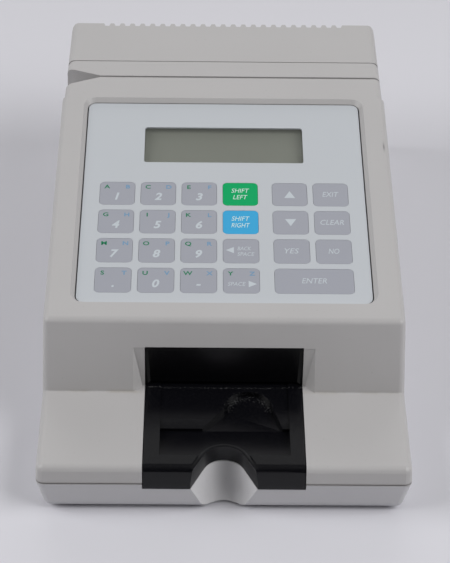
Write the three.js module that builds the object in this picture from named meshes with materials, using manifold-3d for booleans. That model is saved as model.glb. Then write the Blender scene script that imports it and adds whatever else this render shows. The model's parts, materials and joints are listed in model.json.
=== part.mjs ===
// A benchtop blood coagulation monitor: a moulded case with a sloping keypad panel,
// a black card station at the front with a thumb notch, a swipe slot for coded cards
// across the back of the panel, and a vented rear cover over the connections.
import * as THREE from 'three';
import { mergeVertices } from 'three/addons/utils/BufferGeometryUtils.js';
import Module from 'manifold-3d';

const wasm = await Module();
wasm.setup();

const { degToRad } = THREE.MathUtils;

// Driving dimensions in millimetres. +X is to the right, +Y to the rear and +Z up,
// and the origin is on the table under the middle of the case.

// Case
const caseWidth = 160;
const footHeight = 1.2;
const baseHeight = 15.8;
const noseHeight = 7.6;
const noseLean = 2.3;
const shelfLength = 46.6;
const fasciaHeight = 31.9;
const fasciaRun = 11.8;
const panelTilt = degToRad(4.88);
const sideDraft = degToRad(1.4);
const sideStep = 0.9;
const rearTaper = 0.9;
const stepFromRear = 58;
const wall = 2.5;
const edgeRadius = 3;
const foldRadius = 3.2;
const footOfFasciaRadius = 0.8;
const seamGap = 0.5;

// Clearances
const meshGap = 0.3;
const keyGap = 0.2;
const cutOverrun = 6;

// Keypad overlay in its pocket, set in from the panel's edges and from the swipe slot
const panelMargin = 14.5;
const overlayStart = 12.2;
const overlayToSlot = 18.1;
const overlayThickness = 0.8;
const overlayRadius = 3.6;
const overlaySink = 1.85;
const overlayGap = 0.6;
const overlayFrontGap = 0.4;
const frontBevelShare = 0.7;
const switchThickness = 1.3;
const switchPocketDepth = 0.85;
const domeRadius = 4;
const domeHeight = 0.35;

// Keys: they fill the overlay's width, less these margins and spaces
const keyColumns = 6;
const keyRows = 4;
const keyHeight = 15.4;
const keysFromSide = 7.9;
const keysFromFront = 6.2;
const keysBelowDisplay = 14.35;
const keySpaceAcross = 3;
const keySpaceAlong = 3.65;
const keyBlockGap = 3.9;
const keyRadius = 2;

// Display
const displayWidth = 75.5;
const displayHeight = 25.4;
const displayBelowEdge = 17.6;
const displayRadius = 1.2;
const displayDepth = 3.5;
const glassThickness = 1.6;
const glassMargin = 4;
const frameMargin = 1.6;
const frameDepth = 5;
const displayBoardSideMargin = 5.65;
const displayBoardEndMargin = 10.7;
const boardThickness = 1.6;

// Card station
const trayWidth = 69;
const trayRim = 6.5;
const trayLip = 2.8;
const trayInside = 44;
const traySkin = 2.5;
const bedShift = 0.3;
const bedFromFold = 7.6;
const deckDepth = 0.6;
const floorDepth = 3.2;
const rampDepth = 0.8;
const padFront = 21.3;
const padBevelRun = 5.6;
const padBevelDrop = 1;
const bellFromRight = 17.6;
const bellRadius = 10.6;
const bellBeyondFascia = 1;
const leftPadWidth = 18.4;
const rightPadWidth = 2.9;
const notchRadius = 9.4;
const notchDepth = 15.2;
const notchFlare = degToRad(26);
const notchChamfer = 1.4;
const notchChamferDepth = 0.6;
const scoopLean = 11.5;
const hoodFoot = 3.9;
const hoodTop = 19.5;
const hoodThickness = 2.5;
const hoodLift = 1.4;
const hoodPanelMargin = 2.2;
const hoodPanelTopMargin = 1.2;
const hoodPanelDepth = 1.2;
const recessMargin = 5.4;
const recessFootMargin = 1.4;
const recessTopDepth = 0.15;

// Swipe slot and the bridge behind it
const slotFromRear = 43.2;
const slotWidth = 1.2;
const slotDepth = 14;
const bridgeLength = 11.3;
const bridgeCornerRadius = 5;
const flareLength = 18.2;
const flareFront = 6.6;
const flareRear = 5.9;
const headWidth = 12;
const headHeight = 7;
const headLength = 6;
const headReach = 0.6;
const headFromMiddle = 22;
const headSpringThickness = 0.4;
const headSpringLength = 34;

// Rear cover, its switch and its connectors
const ventFromSide = 17.5;
const ventPitch = 5.13;
const ventDepth = 2;
const ventMouth = 3.4;
const ventRoot = 2;
const ventHeight = 26;
const ventSlotWidth = 1.4;
const ventSlotHeight = 15;
const rearWall = 5;
const portHeight = 15;
const rockerWidth = 13;
const rockerHeight = 19;
const rockerFromScrew = 15;
const rockerTilt = degToRad(7);
const rockerDepth = 12;
const rockerRim = 2;
const rockerGap = 0.5;
const rockerPivotDepth = 4;
const rockerBack = 3;
const rockerPinRadius = 1;
const inletFromRocker = 26;
const inletSize = 12;
const inletBore = 5.6;
const inletPin = 2;
const inletDepth = 13;
const serialFromInlet = 40;
const serialWidth = 31;
const serialHeight = 12.5;
const serialShellWidth = 19;
const serialShellHeight = 8.4;
const serialDepth = 10;
const serialSlant = degToRad(10);
const serialShellRadius = 1.5;

// Base
const baseSideLean = 2.6;
const baseEndLean = 0.9;
const baseRadius = 4;
const screwRadius = 1.5;
const screwLength = 12;
const screwSink = 5;
const screwHeadRadius = 3;
const screwHeadHeight = 2.2;
const bossWall = 2;
const padRadius = 7;
const padHeight = 2.4;
const padFromSide = 15.6;
const padFromEnd = 20;
const padFromRear = 40;
const frontScrewFromSide = 22;
const frontScrewFromFascia = 14;
const screwFromSide = 13;
const middleScrewFromRear = 97.5;
const rearScrewFromRear = 12;
const trayRibFromSide = 6;
const boardPostInset = 5;

// What the case holds
const boardLift = 4;
const boardFromScrews = 2.7;
const boardBehindTray = 6;
const boardBeforeBattery = 9.5;
const chipSize = 24;
const chipHeight = 3;
const batteryWidth = 72;
const batteryLength = 46;
const batteryHeight = 11;
const batteryFromRear = 24;
const bayLedge = 1.2;
const hatchMargin = 4;
const hatchThickness = 1.5;
const gripGrooveCount = 5;
const gripGrooveWidth = 1.2;
const gripGrooveDepth = 0.6;
const gripGrooveLength = 22;
const gripFromEdge = 4;
const heaterWidth = 34;
const heaterLength = 26;
const heaterThickness = 3;
const heaterFromHood = 8;
const heaterLedge = 3;
const coilRadius = 11;
const coilHeight = 8;
const coreRadius = 4;
const flangeThickness = 1.5;
const bracketThickness = 2;
const lensReach = 2;
const opticsWidth = 26;
const opticsLength = 20;
const opticsHeight = 9;
const opticsLift = 6;

// Smoothness
const roundingSteps = 3;
const arcStep = degToRad(24);
const thumbArcStep = degToRad(13);
const roundSides = 16;

// Places worked out from the sizes above. The case is as long as its shelf, its keypad
// panel and its rear part together.
const pitchAlong = keyHeight + keySpaceAlong;
const keysHigh = overlayStart + keysFromFront + keyRows * pitchAlong - keySpaceAlong;
const displayTop = keysHigh + keysBelowDisplay + displayHeight;
const overlayEnd = displayTop + displayBelowEdge;
const panelRun = (overlayEnd + overlayToSlot) * Math.cos(panelTilt);
const caseLength = noseLean + shelfLength + fasciaRun + panelRun + slotFromRear;
const seamZ = footHeight + baseHeight;
const shelfZ = seamZ + noseHeight;
const panelZ = shelfZ + fasciaHeight;
const frontY = -caseLength / 2;
const rearY = caseLength / 2;
const foldY = frontY + noseLean;
const fasciaY = foldY + shelfLength;
const panelY = fasciaY + fasciaRun;
const stepY = rearY - stepFromRear;
const slotFrontY = rearY - slotFromRear;
const slotRearY = slotFrontY + slotWidth;
const bridgeRearY = slotRearY + bridgeLength;
const halfCase = caseWidth / 2;
const halfRear = halfCase - sideStep;
const halfTray = trayWidth / 2;
const panelAt = (y) => panelZ + (y - panelY) * Math.tan(panelTilt);
const slotFloorZ = panelAt(slotFrontY) - slotDepth;
const far = caseLength;

const xAxis = new THREE.Vector3(1, 0, 0);
const yAxis = new THREE.Vector3(0, 1, 0);
const zAxis = new THREE.Vector3(0, 0, 1);
const panelMatrix = new THREE.Matrix4()
  .makeRotationX(panelTilt)
  .setPosition(0, panelY, panelZ);

// Materials
const finish = (color, roughness, metalness = 0) =>
  new THREE.MeshStandardMaterial({ color, roughness, metalness });
const upperPlastic = finish('#c3c1bd', 0.6);
const basePlastic = finish('#b4b4b6', 0.6);
const blackPlastic = finish('#141416', 0.3);
const overlayFilm = finish('#cfd5dc', 0.45);
const keyGrey = finish('#a9a9b5', 0.5);
const keyGreen = finish('#0aa45c', 0.5);
const keyBlue = finish('#44a3d8', 0.5);
const clearPlastic = finish('#aeb4ac', 0.1);
const displayGlass = finish('#7b7f73', 0.2);
const circuitGreen = finish('#1f6b3f', 0.5);
const plainSteel = finish('#b8bcc0', 0.35, 0.9);
const aluminium = finish('#c9ccce', 0.4, 0.9);
const copper = finish('#b4693a', 0.4, 0.8);
const darkRubber = finish('#2a2a2c', 0.85);
const cellWrap = finish('#3f5f8f', 0.5);

// Makes a geometry a solid that can be joined and cut.
function solid(geometry) {
  const bare = geometry.clone();
  bare.deleteAttribute('normal');
  bare.deleteAttribute('uv');
  const merged = mergeVertices(bare);
  return new wasm.Manifold(new wasm.Mesh({
    numProp: 3,
    vertProperties: new Float32Array(merged.attributes.position.array),
    triVerts: new Uint32Array(merged.index.array),
  }));
}

// Turns a solid back into a geometry.
function geometryOf(body) {
  const { vertProperties, triVerts } = body.getMesh();
  const geometry = new THREE.BufferGeometry();
  geometry.setAttribute('position', new THREE.BufferAttribute(new Float32Array(vertProperties), 3));
  geometry.setIndex(new THREE.BufferAttribute(new Uint32Array(triVerts), 1));
  geometry.computeVertexNormals();
  return geometry;
}

// Replaces each corner [a, b, radius] of an outline by an arc of its radius.
function filleted(corners) {
  return corners.flatMap(([a, b, radius = 0], index) => {
    const corner = new THREE.Vector2(a, b);
    if (radius === 0) return [[a, b]];
    const before = corners.at(index - 1);
    const after = corners[(index + 1) % corners.length];
    const back = new THREE.Vector2(before[0], before[1]).sub(corner).normalize();
    const ahead = new THREE.Vector2(after[0], after[1]).sub(corner).normalize();
    const half = Math.acos(back.dot(ahead)) / 2;
    const toCentre = back.clone().add(ahead).normalize();
    const centre = corner.clone().addScaledVector(toCentre, radius / Math.sin(half));
    const start = corner.clone().addScaledVector(back, radius / Math.tan(half)).sub(centre);
    const side = Math.sign(back.cross(ahead));
    const sweep = (Math.PI - 2 * half) * -side;
    const steps = Math.max(1, Math.round(Math.abs(sweep) / arcStep));
    return Array.from({ length: steps + 1 }, (_, step) => {
      const point = start.clone().rotateAround(new THREE.Vector2(), (sweep * step) / steps).add(centre);
      return [point.x, point.y];
    });
  });
}

// A rectangle from low to high corner, its corners rounded.
const rounded = (left, right, low, high, radius = 0) => filleted([
  [left, low, radius],
  [right, low, radius],
  [right, high, radius],
  [left, high, radius],
]);

// Draws an outline inwards by the same distance on every side.
function drawnIn(outline, distance) {
  return outline.map((point, index) => {
    const before = outline.at(index - 1);
    const after = outline[(index + 1) % outline.length];
    const inward = (from, to) => new THREE.Vector2(from[1] - to[1], to[0] - from[0]).normalize();
    const first = inward(before, point);
    const second = inward(point, after);
    const shift = first.clone().add(second).multiplyScalar(distance / (1 + first.dot(second)));
    return [point[0] + shift.x, point[1] + shift.y];
  });
}

// Extrudes a flat outline, with any holes in it.
function extruded(outline, depth, holes) {
  const shape = new THREE.Shape(outline.map(([a, b]) => new THREE.Vector2(a, b)));
  shape.holes = holes.map((hole) => new THREE.Path(hole.map(([a, b]) => new THREE.Vector2(a, b))));
  return new THREE.ExtrudeGeometry(shape, { depth, bevelEnabled: false });
}

// Extrudes a plan outline in x and y from a low to a high z.
const upright = (outline, low, high, holes = []) =>
  extruded(outline, high - low, holes).translate(0, 0, low);

// Extrudes a side outline in y and z from a left to a right x.
const sideways = (outline, left, right, holes = []) =>
  extruded(outline, right - left, holes)
    .applyMatrix4(new THREE.Matrix4().makeBasis(yAxis, zAxis, xAxis))
    .translate(left, 0, 0);

// Extrudes a front outline in x and z from a front to a rear y.
const lengthways = (outline, front, rear, holes = []) =>
  extruded(outline, rear - front, holes)
    .applyMatrix4(new THREE.Matrix4().makeBasis(xAxis, zAxis, yAxis.clone().negate()))
    .translate(0, rear, 0);

// A plain block between two values on each axis.
const block = ([left, right], [front, rear], [low, high]) =>
  new THREE.BoxGeometry(right - left, rear - front, high - low)
    .translate((left + right) / 2, (front + rear) / 2, (low + high) / 2);

// An upright round post.
const post = (x, y, low, high, radius) =>
  new THREE.CylinderGeometry(radius, radius, high - low, roundSides)
    .rotateX(Math.PI / 2)
    .translate(x, y, (low + high) / 2);

// A turned piece from [radius, height] points, standing on the z axis.
const turned = (profile) =>
  new THREE.LatheGeometry(profile.map(([r, z]) => new THREE.Vector2(r, z)), roundSides)
    .rotateX(Math.PI / 2);

// Skins a closed body over rings that have the same number of corners. Each ring turns
// counter-clockwise about the way the rings advance, which is across x up.
function skinned(rings, across, up) {
  const count = rings[0].length;
  const faces = [];
  for (let ring = 0; ring + 1 < rings.length; ring += 1) {
    for (let k = 0; k < count; k += 1) {
      const a = ring * count + k;
      const b = ring * count + ((k + 1) % count);
      faces.push(a, b, b + count, a, b + count, a + count);
    }
  }
  const cap = (ring) => THREE.ShapeUtils.triangulateShape(
    ring.map((point) => new THREE.Vector2(point.dot(across), point.dot(up))),
    [],
  );
  const last = (rings.length - 1) * count;
  cap(rings[0]).forEach(([a, b, c]) => faces.push(c, b, a));
  cap(rings.at(-1)).forEach(([a, b, c]) => faces.push(last + a, last + b, last + c));
  const geometry = new THREE.BufferGeometry().setFromPoints(rings.flat());
  geometry.setIndex(faces);
  return geometry;
}

// Plan outlines stacked at rising heights: levels of [z, outline].
const stacked = (levels) => skinned(
  levels.map(([z, outline]) => outline.map(([x, y]) => new THREE.Vector3(x, y, z))),
  xAxis,
  yAxis,
);

// A side outline carried across the width with its two ends rounded over: towards an
// end each section is the same outline, drawn in by the rounding.
function roundedAcross(outline, halfWidth, radius) {
  const half = Array.from({ length: roundingSteps + 1 }, (_, step) => {
    const angle = (Math.PI / 2) * (step / roundingSteps);
    return [halfWidth - radius + radius * Math.sin(angle), radius * (1 - Math.cos(angle))];
  });
  const sections = [...half.map(([x, inset]) => [-x, inset]).reverse(), ...half];
  return skinned(
    sections.map(([x, inset]) => drawnIn(outline, inset).map(([y, z]) => new THREE.Vector3(x, y, z))),
    yAxis,
    zAxis,
  );
}

// Moves each corner of a geometry in x by a factor that depends on its y and z.
function narrowed(geometry, factor) {
  const place = geometry.attributes.position;
  for (let i = 0; i < place.count; i += 1) {
    place.setX(i, place.getX(i) * factor(place.getY(i), place.getZ(i)));
  }
  return geometry;
}

// The case, as one rounded body that the housings are cut from. Its sides lean in
// upwards, step in behind the panel, and then draw in towards the rear.
const belowSeam = edgeRadius + cutOverrun;
const caseOutline = filleted([
  [frontY - (noseLean * belowSeam) / noseHeight, seamZ - belowSeam],
  [rearY, seamZ - belowSeam],
  [rearY, panelAt(rearY)],
  [panelY, panelZ, foldRadius],
  [fasciaY, shelfZ, footOfFasciaRadius],
  [foldY, shelfZ, foldRadius],
]);
const leanIn = (z) => (z - seamZ) * Math.tan(sideDraft);
const drawIn = (y) => (rearTaper * (y - stepY)) / (rearY - stepY);

function caseBody(outline, inset, radius) {
  const front = narrowed(
    roundedAcross(outline, halfCase - inset, radius),
    (y, z) => 1 - leanIn(z) / halfCase,
  );
  const rear = narrowed(
    roundedAcross(outline, halfRear - inset, radius),
    (y, z) => 1 - (leanIn(z) + drawIn(y)) / halfRear,
  );
  const ahead = solid(block([-far, far], [-far, stepY], [-far, far]));
  return solid(front).intersect(ahead).add(solid(rear).subtract(ahead));
}

const aboveSeam = solid(block([-far, far], [-far, far], [seamZ + seamGap / 2, far]));
const outerCase = caseBody(caseOutline, 0, edgeRadius).intersect(aboveSeam);
const innerCase = caseBody(drawnIn(caseOutline, wall), wall, edgeRadius - wall);

// The keypad pocket, in the panel's own frame: x across, y along and z out of the panel.
const overlayTop = -overlaySink;
const overlayUnder = overlayTop - overlayThickness;
const switchTop = overlayUnder - meshGap;
const switchUnder = switchTop - switchThickness;
const pocketFloor = switchUnder - meshGap;
const panelUnder = pocketFloor - wall;
const halfOverlay = halfCase - panelMargin;
const overlayOutline = (grow, frontGrow = grow) => rounded(
  -halfOverlay - grow,
  halfOverlay + grow,
  overlayStart - frontGrow,
  overlayEnd + grow,
  overlayRadius + grow,
);
const pocketOutline = (rise) =>
  overlayOutline(overlayGap + rise, overlayFrontGap + rise * frontBevelShare);
const onPanel = (geometry) => geometry.applyMatrix4(panelMatrix);

const displayOutline = (grow, radius = 0) => rounded(
  -displayWidth / 2 - grow,
  displayWidth / 2 + grow,
  displayTop - displayHeight - grow,
  displayTop + grow,
  radius,
);

// The keys in reading order: name, column, row, columns wide and colour.
const keyTable = [
  ['key_1', 0, 0], ['key_2', 1, 0], ['key_3', 2, 0], ['key_shift_left', 3, 0, 1, keyGreen],
  ['key_up', 4, 0], ['key_exit', 5, 0],
  ['key_4', 0, 1], ['key_5', 1, 1], ['key_6', 2, 1], ['key_shift_right', 3, 1, 1, keyBlue],
  ['key_down', 4, 1], ['key_clear', 5, 1],
  ['key_7', 0, 2], ['key_8', 1, 2], ['key_9', 2, 2], ['key_back_space', 3, 2],
  ['key_yes', 4, 2], ['key_no', 5, 2],
  ['key_point', 0, 3], ['key_0', 1, 3], ['key_minus', 2, 3], ['key_space', 3, 3],
  ['key_enter', 4, 3, 2],
];
const firstBlockColumns = 4;
const keysLeft = keysFromSide - halfOverlay;
const pitchAcross = (-2 * keysLeft - keyBlockGap + keySpaceAcross) / keyColumns;
const keys = keyTable.map(([name, column, row, columns = 1, colour = keyGrey]) => {
  const left = keysLeft + column * pitchAcross + (column < firstBlockColumns ? 0 : keyBlockGap);
  const right = left + columns * pitchAcross - keySpaceAcross;
  const high = keysHigh - row * pitchAlong;
  return { name, colour, left, right, low: high - keyHeight, high };
});
const keyOutline = ({ left, right, low, high }, grow, radius = keyRadius + grow) =>
  rounded(left - grow, right + grow, low - grow, high + grow, radius);

// The thumb notch: a round arch whose sides flare towards the front, grown by a
// chamfer and moved forward by a shift.
function notchOutline(grow, shift) {
  const radius = notchRadius + grow;
  const centreY = foldY + notchDepth - notchRadius - shift;
  const mouthY = frontY - cutOverrun;
  const turn = Math.PI / 2 - notchFlare;
  const steps = Math.round((2 * turn) / thumbArcStep);
  const arch = Array.from({ length: steps + 1 }, (_, step) => {
    const angle = Math.PI / 2 + turn - (2 * turn * step) / steps;
    return [radius * Math.cos(angle), centreY + radius * Math.sin(angle)];
  });
  const [tangentX, tangentY] = arch.at(-1);
  const mouthX = tangentX + (tangentY - mouthY) * Math.tan(notchFlare);
  return [[-mouthX, mouthY], ...arch, [mouthX, mouthY]].reverse();
}

// Card station heights and places
const trayUnderZ = seamZ - trayLip;
const trayFloorUnderZ = shelfZ - floorDepth - traySkin;
const trayRearY = fasciaY + trayInside;
const bedLeft = bedShift - halfTray + trayRim;
const bedRight = bedShift + halfTray - trayRim;
const bedFrontY = foldY + bedFromFold;
const recessHalfWidth = halfTray + recessMargin;
const hoodTopZ = shelfZ + hoodTop;
const hoodTopY = fasciaY + (fasciaRun * hoodTop) / fasciaHeight;
const hoodFootY = fasciaY + hoodFoot;
const hoodUnderZ = shelfZ + hoodLift;
const notchWallY = foldY + notchDepth + wall;
const heaterY = hoodFootY + heaterFromHood;

// Screws that come up through the base into bosses: name and place
const frontScrewX = halfCase - frontScrewFromSide;
const frontScrewY = fasciaY - frontScrewFromFascia;
const screwX = halfCase - screwFromSide;
const middleScrewY = rearY - middleScrewFromRear;
const rearScrewY = rearY - rearScrewFromRear;
const screws = [
  ['case_screw_front_left', -frontScrewX, frontScrewY],
  ['case_screw_front_right', frontScrewX, frontScrewY],
  ['case_screw_middle_left', -screwX, middleScrewY],
  ['case_screw_middle_right', screwX, middleScrewY],
  ['case_screw_rear_left', -screwX, rearScrewY],
  ['case_screw_rear_right', screwX, rearScrewY],
];
const screwTubeRadius = screwHeadRadius + meshGap + bossWall;
const bossRadius = screwRadius + meshGap + bossWall;
const bossUnderZ = seamZ + seamGap;
const screwZ = footHeight + screwSink;
const boreTopZ = screwZ + screwHeadHeight + screwLength + meshGap;

// A screw boss hanging from a housing, with its pilot bore.
const boss = (x, y, high) => solid(post(x, y, bossUnderZ, high, bossRadius));
const pilot = (x, y) => solid(post(x, y, bossUnderZ - cutOverrun, boreTopZ, screwRadius + meshGap));

// Upper housing: shelf, fascia and panel in one moulding that ends at the swipe slot.
function upperHousing() {
  const ahead = (y) => solid(block([-far, far], [-far, y], [-far, far]));
  const hollow = innerCase.intersect(ahead(slotFrontY - wall));
  const pocketWalls = solid(onPanel(upright(pocketOutline(wall), panelUnder, 0)));
  const flareWall = solid(block(
    [-far, -halfRear + flareLength + wall],
    [slotFrontY - flareFront - wall, slotFrontY],
    [slotFloorZ - wall, far],
  ));
  const recessWall = solid(sideways([
    [fasciaY - wall, shelfZ - wall],
    [hoodFootY + wall, shelfZ - wall],
    [hoodTopY + 2 * wall, hoodTopZ + wall],
    [hoodTopY - wall, hoodTopZ + wall],
  ], -recessHalfWidth - wall, recessHalfWidth + wall));
  let body = outerCase.intersect(ahead(slotFrontY))
    .subtract(hollow)
    .add(pocketWalls.add(flareWall).add(recessWall).intersect(outerCase).intersect(ahead(slotFrontY)));
  for (const [, x, y] of screws.slice(0, 2)) body = body.add(boss(x, y, shelfZ - wall / 2));
  for (const [, x, y] of screws.slice(2, 4)) body = body.add(boss(x, y, panelAt(y) - wall / 2));

  // Pocket with bevelled sides, and the display opening in its floor
  const pocket = skinned(
    [[pocketFloor, 0], [overlayTop, 0], [cutOverrun, overlaySink + cutOverrun]]
      .map(([z, rise]) => pocketOutline(rise).map(([x, y]) => new THREE.Vector3(x, y, z))),
    xAxis,
    yAxis,
  );
  body = body.subtract(solid(onPanel(pocket)));
  const opening = upright(displayOutline(glassMargin + frameMargin + meshGap), panelUnder - cutOverrun, 0);
  body = body.subtract(solid(onPanel(opening)));

  // Opening for the card station, and the wedge recess on both sides of its hood
  const halfOpening = halfTray + meshGap;
  body = body.subtract(solid(block(
    [-halfOpening, halfOpening],
    [frontY - cutOverrun, fasciaY + fasciaRun],
    [seamZ - cutOverrun, hoodTopZ + meshGap],
  )));
  const recessLevel = (half, y) => [
    [-recessHalfWidth, foldY],
    [recessHalfWidth, foldY],
    [recessHalfWidth, y[0]],
    [half, y[1]],
    [-half, y[1]],
    [-recessHalfWidth, y[0]],
  ];
  body = body.subtract(solid(stacked([
    [shelfZ, recessLevel(halfTray + recessFootMargin, [fasciaY, hoodFootY])],
    [hoodTopZ, recessLevel(recessHalfWidth - recessTopDepth, [hoodTopY, hoodTopY + recessTopDepth])],
  ])));

  // Flared lead-in of the swipe slot
  body = body.subtract(solid(upright([
    [-halfRear + flareLength, slotFrontY],
    [-halfRear + flareLength, slotFrontY + cutOverrun],
    [-far, slotFrontY + cutOverrun],
    [-halfRear - cutOverrun, slotFrontY - flareFront * (1 + cutOverrun / flareLength)],
  ].reverse(), slotFloorZ, far)));

  // Bores of the screw bosses, and the posts that carry the display board
  for (const [, x, y] of screws.slice(0, 4)) body = body.subtract(pilot(x, y));
  for (const [x, y] of displayPosts) {
    body = body.add(solid(onPanel(post(x, y, displayBoardTop + meshGap, panelUnder + wall / 2, bossWall))));
  }
  return body;
}

// Display: a glass set in a metal frame on its board, seen through a clear window
const glassTop = overlayTop - displayDepth;
const glassUnder = glassTop - glassThickness;
const displayBoardTop = glassTop - frameDepth;
const displayMiddle = displayTop - displayHeight / 2;
const displayBoardWidth = displayWidth + 2 * (glassMargin + frameMargin + displayBoardSideMargin);
const displayBoardHeight = displayHeight + 2 * (glassMargin + frameMargin + displayBoardEndMargin);
const displayPosts = [-1, 1].flatMap((x) => [-1, 1].map((y) => [
  x * (displayBoardWidth / 2 - 2 * bossWall),
  displayMiddle + y * (displayBoardHeight / 2 - 2 * bossWall),
]));

function displayWindow() {
  return upright(displayOutline(-meshGap, displayRadius), overlayUnder, overlayTop - meshGap);
}

function displayFrame() {
  const outer = solid(upright(displayOutline(glassMargin + frameMargin), displayBoardTop + meshGap, glassTop));
  const seat = solid(upright(displayOutline(glassMargin + meshGap), glassUnder - meshGap, cutOverrun));
  const inside = solid(upright(displayOutline(-frameMargin), panelUnder - far, cutOverrun));
  return outer.subtract(seat).subtract(inside);
}

function displayGlassPlate() {
  return upright(displayOutline(glassMargin), glassUnder, glassTop);
}

function displayBoard() {
  const half = displayBoardWidth / 2;
  return upright(
    rounded(-half, half, displayMiddle - displayBoardHeight / 2, displayMiddle + displayBoardHeight / 2),
    displayBoardTop - boardThickness,
    displayBoardTop,
  );
}

// Keypad overlay: a printed sheet with an opening for each key and for the window.
function overlay() {
  const holes = [displayOutline(0, displayRadius), ...keys.map((key) => keyOutline(key, keyGap))];
  return upright(overlayOutline(0), overlayUnder, overlayTop, holes);
}

// Switch sheet under the overlay, with a pocket and a snap dome under each key.
function switchSheet() {
  let body = solid(upright(
    overlayOutline(0),
    switchUnder,
    switchTop,
    [displayOutline(glassMargin + frameMargin + meshGap)],
  ));
  const floor = switchTop - switchPocketDepth;
  const sunk = floor - domeHeight;
  for (const key of keys) {
    const x = (key.left + key.right) / 2;
    const y = (key.low + key.high) / 2;
    body = body.subtract(solid(upright(keyOutline(key, keyGap, 0), floor, cutOverrun)));
    const dome = new THREE.CylinderGeometry(domeRadius / 2, domeRadius, 2 * domeHeight, roundSides / 2)
      .rotateX(Math.PI / 2)
      .translate(x, y, sunk + domeHeight);
    body = body.add(solid(dome));
  }
  return body;
}

const keyCap = (key) => upright(keyOutline(key, 0), overlayUnder, overlayTop);

// Card tray: a black moulding flush with the shelf. The test card lies in its bed on a
// raised deck, and the floor in front of the deck runs down to a thumb notch.
function cardTray() {
  const outline = filleted([
    [frontY, trayUnderZ],
    [notchWallY, trayUnderZ],
    [notchWallY, trayFloorUnderZ],
    [trayRearY, trayFloorUnderZ],
    [trayRearY, shelfZ],
    [foldY, shelfZ, foldRadius],
    [frontY, seamZ],
  ]);
  let body = solid(sideways(outline, -halfTray, halfTray));
  const deckZ = shelfZ - deckDepth;
  const floorZ = shelfZ - floorDepth;

  // The bed down to the deck, and the sunken floor with its ramp up to the front rim
  body = body.subtract(solid(block([bedLeft, bedRight], [bedFrontY, far], [deckZ, far])));
  const bellX = bedRight - bellFromRight;
  const bellY = fasciaY + bellBeyondFascia - bellRadius;
  const bellSteps = Math.round(Math.PI / thumbArcStep);
  const bell = Array.from({ length: bellSteps + 1 }, (_, step) => {
    const angle = Math.PI - (Math.PI * step) / bellSteps;
    return [bellX + bellRadius * Math.cos(angle), bellY + bellRadius * Math.sin(angle)];
  });
  const padY = fasciaY - padFront;
  const sunken = [
    [bedLeft, bedFrontY],
    [bedLeft, padY],
    [bedLeft + leftPadWidth, padY],
    ...bell,
    [bedRight - rightPadWidth, padY],
    [bedRight, padY],
    [bedRight, bedFrontY],
  ].reverse();
  const ramp = sideways([
    [bedFrontY - cutOverrun, shelfZ + cutOverrun],
    [bedFrontY - cutOverrun, shelfZ - rampDepth],
    [bedFrontY, shelfZ - rampDepth],
    [padY, floorZ],
    [fasciaY, floorZ],
    [fasciaY, shelfZ + cutOverrun],
  ], bedLeft, bedRight);
  body = body.subtract(solid(upright(sunken, floorZ - cutOverrun, far)).intersect(solid(ramp)));

  // The pads' bevelled front edges
  const bevel = sideways([
    [padY - cutOverrun, deckZ - padBevelDrop],
    [padY, deckZ - padBevelDrop],
    [padY + padBevelRun, deckZ],
    [padY + padBevelRun, shelfZ + cutOverrun],
    [padY - cutOverrun, shelfZ + cutOverrun],
  ], bedLeft, bedRight);
  body = body.subtract(solid(bevel));

  // The thumb notch, with a chamfer round its top edge that follows the ramp
  const onRamp = (y) => THREE.MathUtils.mapLinear(y, bedFrontY, padY, rampDepth, floorDepth);
  const surface = (y) => (y < bedFrontY ? shelfZ : shelfZ - onRamp(y));
  const edge = [[0, -notchChamferDepth], [notchChamfer, 0], [notchChamfer, cutOverrun]];
  const chamfer = edge.map(([grow, lift]) =>
    notchOutline(grow, 0).map(([x, y]) => new THREE.Vector3(x, y, surface(y) + lift)));
  body = body.subtract(solid(upright(notchOutline(0, 0), trayUnderZ - cutOverrun, far)));
  body = body.subtract(solid(skinned(chamfer, xAxis, yAxis)));

  // The seat of the heater plate, open below for the magnet's core
  const seat = (grow, low) => solid(block(
    [bedShift - heaterWidth / 2 - grow, bedShift + heaterWidth / 2 + grow],
    [heaterY - grow, heaterY + heaterLength + grow],
    [low, far],
  ));
  body = body.subtract(seat(meshGap, deckZ - heaterThickness - meshGap));
  return body.subtract(seat(-heaterLedge, trayFloorUnderZ - cutOverrun));
}

// Hood: the leaning black wall over the card slot, with a sunk panel in its face.
function cardHood() {
  const outer = solid(sideways([
    [hoodFootY + (hoodTopY - hoodFootY) * (hoodLift / hoodTop), hoodUnderZ],
    [hoodFootY + hoodThickness + hoodPanelDepth, hoodUnderZ],
    [hoodTopY + hoodThickness + hoodPanelDepth, hoodTopZ],
    [hoodTopY, hoodTopZ],
  ], -halfTray, halfTray));
  const foot = halfTray - hoodPanelMargin;
  const top = halfTray - hoodPanelTopMargin;
  const level = (half, y) => [
    [-half - hoodPanelDepth, y - cutOverrun],
    [half + hoodPanelDepth, y - cutOverrun],
    [half + hoodPanelDepth, y],
    [half, y + hoodPanelDepth],
    [-half, y + hoodPanelDepth],
    [-half - hoodPanelDepth, y],
  ];
  const sunk = solid(stacked([
    [shelfZ, level(foot, hoodFootY)],
    [hoodTopZ - hoodPanelTopMargin, level(top, hoodTopY)],
  ]));
  return outer.subtract(sunk);
}

// Heater plate in the tray's floor, under the card's reaction well
function heaterPlate() {
  const half = heaterWidth / 2;
  return block(
    [bedShift - half, bedShift + half],
    [heaterY, heaterY + heaterLength],
    [shelfZ - deckDepth - heaterThickness, shelfZ - deckDepth],
  );
}

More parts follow.
